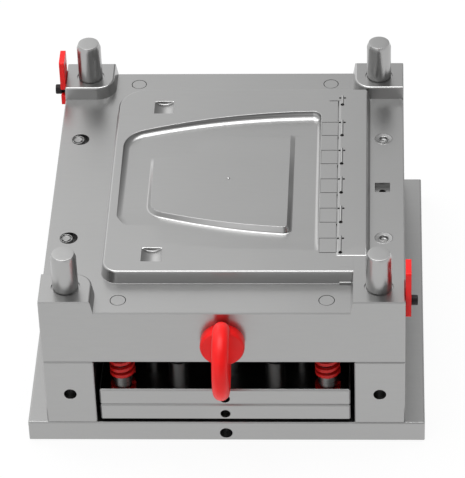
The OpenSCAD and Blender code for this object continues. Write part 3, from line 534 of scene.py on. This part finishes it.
def field_cutter():
    """Space of the sunk field: a wide fillet of even width at its foot and a rounded rim."""
    run_out, back_corner, shallow, rim_r = -172, 140.9, 0.03, 0.8
    steps, rim_steps = 12, 5
    corners = [(FIELD_RIGHT, run_out, 0), (FIELD_RIGHT, back_corner, 11)]
    corners += arc(122.7, -569.7, 710.6, 102, -100, 30, True)
    corners += [(FIELD_LEFT, 91.8, 37), (FIELD_LEFT, -80, 14), (-127, -100, 14),
                (-62, run_out, 0)]
    points = subdivide(rounded(corners, 16), 8.0)
    normals = inward_normals(points)
    reaches = by_side(normals, left=7.6, right=5.2, back=9.6, front=3.0, rounds=6)
    rings = [[] for _ in range(steps + rim_steps + 2)]
    for p, n, reach in zip(points, normals, reaches):
        depth = max(TOP - field_floor(p.x, p.y), shallow)
        rim = min(rim_r, 0.2 * depth)
        wall = depth - rim
        if wall < reach:
            r, last = (reach ** 2 + wall ** 2) / (2 * wall), 2 * math.atan(wall / reach)
        else:
            r, last = reach, math.pi / 2
        top = depth - rim * (1 - math.cos(last))
        for k in range(steps + 1):
            a = last * k / steps
            q = p + n * (reach - r * math.sin(a))
            z = r * (1 - math.cos(a)) if k < steps else top
            rings[k].append((q.x, q.y, field_floor(q.x, q.y) + z))
        for k in range(1, rim_steps + 1):
            a = last * (1 - k / rim_steps)
            q = p - n * (rim * (math.sin(last) - math.sin(a)))
            rings[steps + k].append((q.x, q.y, field_floor(p.x, p.y) + top
                                     + rim * (math.cos(a) - math.cos(last)) + 0.002 * k))
        rings[-1].append((q.x, q.y, TOP + 12))
    cutter = loft("field_cutter", rings)
    drape(cutter, field_floor, False)
    return cutter


def wall_slope(height, width, foot_r):
    """Slope of a straight wall that leaves a foot fillet and covers the width."""
    low, high = 0.001, math.radians(88)
    for _ in range(40):
        slope = (low + high) / 2
        if height / math.tan(slope) + foot_r * math.tan(slope / 2) > width:
            low = slope
        else:
            high = slope
    return slope


def wedge():
    """Raised wedge: sloped walls with a foot fillet round a top that runs out at the back."""
    left, foot_r, top_r, flare = WEDGE_LEFT - 1.0, 3.2, 0.6, 0.45
    least, lift, root, steps = 0.02, 0.01, 4, 8
    corners = [(WEDGE_RIGHT, -116.8, 11), (WEDGE_RIGHT, 130, 0), (left, 110, 0), (left, -76.4, 28)]
    corners += arc(121.3, 496.4, 614.3, -76, 70, 24, False)
    points = subdivide(rounded(corners, 12), 8.0)
    normals = inward_normals(points)
    widths = by_side(normals, left=3.6, right=6.6, back=5.8, front=5.8, rounds=3)
    rings = [[] for _ in range(2 * steps + 3)]
    for p, n, width in zip(points, normals, widths):
        height = max(wedge_height(p.x, p.y), least)
        slope = wall_slope(height, width + (flare * height if n.x > 0.75 else 0), foot_r)
        edge = min(top_r, height)
        crest_at = height / math.tan(slope) + (foot_r + edge) * math.tan(slope / 2)
        profile = []
        for k in range(steps + 1):
            a = slope * k / steps
            profile.append((foot_r * math.sin(a), foot_r * (1 - math.cos(a))))
        for k in range(steps + 1):
            a = slope * (1 - k / steps)
            profile.append((crest_at - edge * math.sin(a), height - edge * (1 - math.cos(a))))
        rings[0].append((p.x, p.y, field_floor(p.x, p.y) - root))
        for ring, (inset, z) in zip(rings[1:], profile):
            q = p + n * inset
            ring.append((q.x, q.y, field_floor(q.x, q.y) - lift
                         + z / height * (wedge_height(q.x, q.y) + lift)))
    body = loft("wedge", rings)
    drape(body, lambda x, y: field_floor(x, y) + wedge_height(x, y), True)
    return body


def latch_cutter(front):
    """Round channel of a latch pocket, with a fillet at its back wall and a lifted back edge."""
    x, r, depth, length, fillet, half_edge, steps = -90.0, 19.7, 5.0, 27.0, 1.9, 12.6, 6
    back = front + length
    profile = [(r, front)]
    for k in range(steps + 1):
        a = math.pi / 2 * k / steps
        profile.append((r - fillet * (1 - math.cos(a)), back - fillet * (1 - math.sin(a))))
    channel = turned_along_y("latch", profile, x, TOP + r - depth, 144)
    edge = along_x("latch_edge", [(back - 1.0, TOP + 1), (back - 1.0, TOP - 0.9),
                                  (back + 1.1, TOP + 0.02), (back + 1.1, TOP + 1)],
                   x - half_edge, x + half_edge)
    return [channel, edge]


def build_core():
    """Lid core insert: field, wedge, latch pockets, seats, and seams round the hinge blocks."""
    def drafted(x, y):
        return (1 if x < INSERT_RIGHT - 1 else 0, 1)

    core = walled("lid_core", [(INSERT_RIGHT, -INSERT_BACK, 0), (INSERT_RIGHT, INSERT_BACK, 0),
                               (INSERT_LEFT, INSERT_BACK, 36), (INSERT_LEFT, -INSERT_BACK, 20)],
                  drafted, bottom=160.0, foot_r=0.4, top_r=2.5)
    boolean(core, [field_cutter()], "DIFFERENCE")
    boolean(core, [wedge()], "UNION")
    beyond, end_gap = 10, 0.05
    end_low, end_high = box_of("hinge_end_block")
    cuts = [block("bar_seat", BAR_LEFT, BAR_FRONT, round(BAR_LOW[2], 1), INSERT_RIGHT + beyond,
                  INSERT_BACK + beyond, CUT_TOP),
            block("end_seat", round(end_low[0] - end_gap, 2), -INSERT_BACK - beyond,
                  round(end_low[2], 1), round(end_high[0] + end_gap, 2),
                  round(end_high[1] + end_gap, 2), CUT_TOP)]
    seam_z, groove_front, groove_back, groove_wide, overlap = TOP - 5, -152.5, 164.4, 1.4, 0.8
    cuts.append(block("groove", BAR_LEFT - groove_wide, groove_front, seam_z, BAR_LEFT + overlap,
                      groove_back, CUT_TOP))
    side_left, side_wide = 127.5, 1.2
    cuts.append(block("side_groove", side_left, groove_back - side_wide, seam_z, BAR_LEFT,
                      groove_back, CUT_TOP))
    block_left, block_wide, window_gap, seam_gap = 118.3, 27.5, 0.3, 1.0
    for y in BLOCK_YS:
        for name, bottom, half in (("window", 186.7, block_wide / 2 + window_gap),
                                   ("seam", seam_z, block_wide / 2 + seam_gap)):
            cuts.append(block(name, block_left - window_gap, y - half, bottom, BAR_LEFT + overlap,
                              y + half, CUT_TOP))
    for front in (-170.1, 136.9):
        cuts += latch_cutter(front)
    pin_hole_r, below = 2.05, 150
    cuts.append(post("pin_hole", 0, 0, below, pin_hole_r, 48))
    boolean(core, cuts, "DIFFERENCE")
    stand_in(core, "core_insert", "mould_half", CORE)


# Pieces beside the lid core

def build_hinge_bar():
    """Hinge bar with softened left and front edges, and seats and pits for the knuckle rods."""
    def drafted(x, y):
        return (1 if x > BAR_LEFT + 1 else 0, 1 if y > 0 else 0)

    bar = walled("bar", [(BAR_LEFT, BAR_FRONT, 0), (BAR_RIGHT, BAR_FRONT, 0),
                         (BAR_RIGHT, INSERT_BACK, 5), (BAR_LEFT, INSERT_BACK, 0)],
                 drafted, bottom=190.0, foot_r=0.3, top_r=2.5)
    cuts = [along_y("left_edge", [(BAR_LEFT - 0.2, TOP - 0.24), (BAR_LEFT + 2.9, TOP + 0.01),
                                  (BAR_LEFT + 2.9, TOP + 2), (BAR_LEFT - 0.2, TOP + 2)],
                    BAR_FRONT - 1, 163.5),
            along_x("front_edge", [(BAR_FRONT - 0.2, TOP - 0.8), (BAR_FRONT + 1.3, TOP + 0.02),
                                   (BAR_FRONT + 1.3, TOP + 2), (BAR_FRONT - 0.2, TOP + 2)],
                    BAR_LEFT - 10, BAR_RIGHT + 7)]
    rod_x, rod_z, seat_r = BAR_LEFT + 4.4, TOP - 0.85, 1.8
    pit_z, pit_r, dot_r, dot_side, dot_in = TOP - 9, 2.5, 1.6, 3.1, 5
    first, pitch = BLOCK_YS[0] + 2.5, BLOCK_YS[1] - BLOCK_YS[0]
    for i, length in enumerate([33.0] * 5 + [19.8]):
        front, back = first + pitch * i - length / 2, first + pitch * i + length / 2
        cuts.append(turned_along_y("rod_seat", [(seat_r, front), (seat_r, back)], rod_x, rod_z, 32))
        cuts.append(post("pit", rod_x, front, pit_z, pit_r, 32))
        for side in (-dot_side, dot_side):
            cuts.append(post("dot", rod_x + side, back - dot_in, pit_z, dot_r, 24))
    boolean(bar, cuts, "DIFFERENCE")
    stand_in(bar, "hinge_bar", "mould_half", CORE)


def build_end_block():
    """Small block with a rounded top edge over a rounded ledge."""
    def bend(y, z, r, steps=5):
        return [(y + r * (1 - math.cos(a)), z - r * (1 - math.sin(a)))
                for a in (math.pi / 2 * k / steps for k in range(steps + 1))]

    back, foot_z, neck_z, ledge_z = -181.1, 205.1, 208.1, 213.2
    foot, ledge, step, face = -193.0, -194.55, -192.5, -190.4
    profile = [(back, foot_z), (foot, foot_z), (foot, neck_z), (ledge, neck_z)]
    profile += bend(ledge, ledge_z, 1.0) + [(step, ledge_z)] + bend(face, TOP, 2.4)
    profile += [(back, TOP)]
    low, high = box_of("hinge_end_block")
    piece = along_x("end_block", profile, round(low[0], 2), round(high[0], 2))
    stand_in(piece, "hinge_end_block", "mould_half", CORE)


def build_locks():
    """Lock screws with a raised ring in the left strip and cupped lock bushes in the right."""
    ring = [(7.0, 207.6), (5.7, 207.6), (5.3, 210.1), (4.9, 210.2), (4.5, 209.6), (1.2, 209.5)]
    cup = [(6.4, 209.4), (6.2, 210.1), (5.8, 210.2), (5.3, 209.9), (4.6, 206.6), (4.0, 206.2),
           (1.2, 206.15)]
    shank_r, shank_top, head_bottom, lock_y = 4.9, 197.6, 198.1, 103
    for node, x, r, inside in (("lock_screws_left", -201.7, 8.15, ring),
                               ("lock_bushes_right", 198.5, 11.3, cup)):
        profile = [(shank_r, box_of(node)[0][2]), (shank_r, shank_top), (r, head_bottom),
                   (r, 209.7), (r - 0.35, 209.95), (r - 0.8, 209.8)] + inside
        pieces = [turned("lock", profile, x, y, 72) for y in (-lock_y, lock_y)]
        stand_in(join(node + "_mesh", pieces), node, "mould_half", FITTING)


# Pins, springs and the eyebolt

def build_guide_pins():
    """Guide pins with a flange, a seat in the plate and a steep chamfer round a flat tip."""
    flange_r, flange_h, seat_r, pin_r, seat_top = 20.5, 7.8, 18.0, 16.0, 225.5
    for row, beyond_cad in (("front", 3.2), ("back", 4.2)):
        for side in ("left", "right"):
            node = f"guide_pin_{row}_{side}"
            low, high = box_of(node)
            x, y, _ = middle_of(node)
            tip = high[2] + beyond_cad
            profile = [(flange_r, low[2]), (flange_r, low[2] + flange_h),
                       (seat_r, low[2] + flange_h), (seat_r, seat_top - 0.3),
                       (seat_r - 0.3, seat_top), (pin_r, seat_top), (pin_r, seat_top + 14.5),
                       (pin_r - 0.1, tip - 6.5), (13.6, tip - 0.2), (13.2, tip), (6.0, tip + 0.05)]
            pin = turned(node + "_mesh", profile, x, y, 96)
            stand_in(pin, node, "mould_half", PIN)


def build_return_pins():
    """Return pins whose ends stand free of their holes by a fine ring."""
    head_h, pin_r, end_r = 8, 10.0, 9.35
    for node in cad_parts:
        if node.startswith("return_pin"):
            low, high = box_of(node)
            x, y, _ = middle_of(node)
            head_r = (high[0] - low[0]) / 2
            profile = [(head_r, low[2]), (head_r, low[2] + head_h), (pin_r, low[2] + head_h),
                       (pin_r, PARTING - 6), (end_r, PARTING - 5), (end_r, PARTING - 0.4),
                       (end_r - 0.25, PARTING - 0.02)]
            pin = turned(node + "_mesh", profile, x, y, 96)
            stand_in(pin, node, "ejector_set", STRIP)


def build_centre_pin():
    """Centre ejector pin with a small domed end."""
    bottom, head_r, head_h, pin_r = box_of("centre_pin")[0][2], 4.0, 4, 2.0
    pin = turned("centre_pin_mesh", [(head_r, bottom), (head_r, bottom + head_h),
                                     (pin_r, bottom + head_h), (pin_r, TOP - 1.9),
                                     (1.9, TOP - 1.2), (1.5, TOP - 0.8), (0.5, TOP - 0.55)])
    stand_in(pin, "centre_pin", "ejector_set", PIN)


def build_springs():
    """Coil springs copied from the CAD nodes as they are, under the core plate."""
    for corner in ("front_left", "front_right", "back_left", "back_right"):
        node = "return_spring_" + corner
        coil = copy_of(node)
        stand_in(coil, node, "mould_half", SHADED_SPRING_RED)
        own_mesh(coil)


def build_eyebolt():
    """Lifting eye of the CAD node with a thicker, rounder collar."""
    eye = copy_of("eyebolt")
    plate_front = -250.0
    collar = [(27.6, 0.0), (27.8, 11.0), (27.3, 13.4), (26.0, 15.2), (24.0, 16.0)]
    tool = turned_along_y("collar", [(r, plate_front - out) for r, out in collar],
                          0, middle_of("eyebolt")[2], 96)
    boolean(eye, [tool], "UNION")
    stand_in(eye, "eyebolt", "mould_half", RED)


build_core()
build_hinge_bar()
build_end_block()
build_locks()
build_guide_pins()
build_return_pins()
build_centre_pin()
build_springs()
build_eyebolt()


# Floor and light

def soft_floor():
    """White floor that keeps a trace of the object's shadow."""
    glow_share = 0.92
    t = Tree(bpy.data.materials.new("floor_white"))
    path = t.add("ShaderNodeLightPath").outputs
    seen = t.math("MAXIMUM", path["Is Camera Ray"], path["Is Glossy Ray"])
    seen = t.math("MAXIMUM", seen, path["Is Transmission Ray"])
    diffuse = t.add("ShaderNodeBsdfDiffuse", {"Color": t.mix(t.noise(3.0), grey(0.86), grey(0.90))})
    glow = t.add("ShaderNodeEmission", {"Color": (1, 1, 1, 1), "Strength": 1.0})
    mixed = t.add("ShaderNodeMixShader", {"Fac": t.math("MULTIPLY", seen, glow_share),
                                          1: diffuse.outputs[0], 2: glow.outputs[0]})
    t.links.new(mixed.outputs[0], t.nodes["Material Output"].inputs["Surface"])
    return t.owner


def lay_floor():
    half, below = 12.0, 0.0005
    mesh = bpy.data.meshes.new("floor")
    mesh.from_pydata([(-half, -half, 0), (half, -half, 0), (half, half, 0), (-half, half, 0)],
                     [], [(0, 1, 2, 3)])
    mesh.materials.append(soft_floor())
    floor = bpy.data.objects.new("floor", mesh)
    floor.location.z = -below
    bpy.context.scene.collection.objects.link(floor)


def world_light():
    """Plain studio surround: brighter to the left, duller in front, white where seen directly."""
    t = Tree(bpy.data.worlds.new("studio"))
    bpy.context.scene.world = t.owner
    direction = t.add("ShaderNodeSeparateXYZ",
                      {0: t.add("ShaderNodeTexCoord").outputs["Generated"]}).outputs

    def ramp(axis, *stops):
        """Factor along one axis of the direction, through (position, factor) stops."""
        spot = t.add("ShaderNodeMapRange", {"Value": direction[axis], "From Min": -1.0})
        node = t.add("ShaderNodeValToRGB", {"Fac": spot.outputs["Result"]})
        elements = node.color_ramp.elements
        while len(elements) < len(stops):
            elements.new(0.5)
        for element, (position, factor) in zip(elements, stops):
            element.position = (position + 1) / 2
            element.color = (factor, factor, factor, 1)
        return node.outputs["Color"]

    side = t.add("ShaderNodeMapRange", {"Value": direction["X"], "From Min": -0.28,
                                        "From Max": 0.12, "To Min": 1.50, "To Max": 0.48})
    far_sides = ramp("X", (-0.85, 0.6), (-0.45, 1), (0.15, 1), (0.5, 0.66))
    in_front = t.math("MULTIPLY", ramp("Y", (-0.45, 1), (-0.05, 0)),
                      ramp("Z", (0.27, 0), (0.40, 1), (0.62, 1), (0.74, 0)))
    dull = t.add("ShaderNodeMix", {0: in_front, 2: 1.0, 3: 0.40}).outputs[0]
    light = t.math("MULTIPLY", side.outputs["Result"], t.math("MULTIPLY", dull, far_sides))
    seen = t.add("ShaderNodeLightPath").outputs["Is Camera Ray"]
    strength = t.add("ShaderNodeMix", {0: seen, 2: light, 3: 1.0}).outputs[0]
    background = t.nodes["Background"]
    background.inputs["Color"].default_value = (1, 1, 1, 1)
    t.links.new(strength, background.inputs["Strength"])


def overhead_light():
    """Wide softbox above the part."""
    data = bpy.data.lights.new("overhead", "AREA")
    data.shape = "RECTANGLE"
    data.size, data.size_y = 2.4, 1.7
    data.energy = 52.0
    light = bpy.data.objects.new("overhead", data)
    light.location = (0.0, 0.12, 2.6)
    bpy.context.scene.collection.objects.link(light)


def photo_camera():
    """The photograph's camera: looks along pitch and yaw, turned about its axis by roll."""
    data = bpy.data.cameras.new("camera")
    data.sensor_fit = "AUTO"
    data.sensor_width = SENSOR_MM
    data.lens = FOCAL_PX * SENSOR_MM / IMAGE_PX
    data.clip_end = 60.0
    ahead = Vector((math.sin(YAW) * math.cos(PITCH), math.cos(YAW) * math.cos(PITCH),
                    -math.sin(PITCH)))
    level = Vector((math.cos(YAW), -math.sin(YAW), 0))
    above = level.cross(ahead)
    right = level * math.cos(ROLL) + above * math.sin(ROLL)
    up = above * math.cos(ROLL) - level * math.sin(ROLL)
    camera = bpy.data.objects.new("camera", data)
    camera.matrix_world = Matrix.Translation(CAMERA_AT) @ Matrix(
        (right, up, -ahead)).transposed().to_4x4()
    bpy.context.scene.collection.objects.link(camera)
    bpy.context.scene.camera = camera


lay_floor()
world_light()
overhead_light()
photo_camera()
bpy.context.scene.view_settings.view_transform = "Standard"
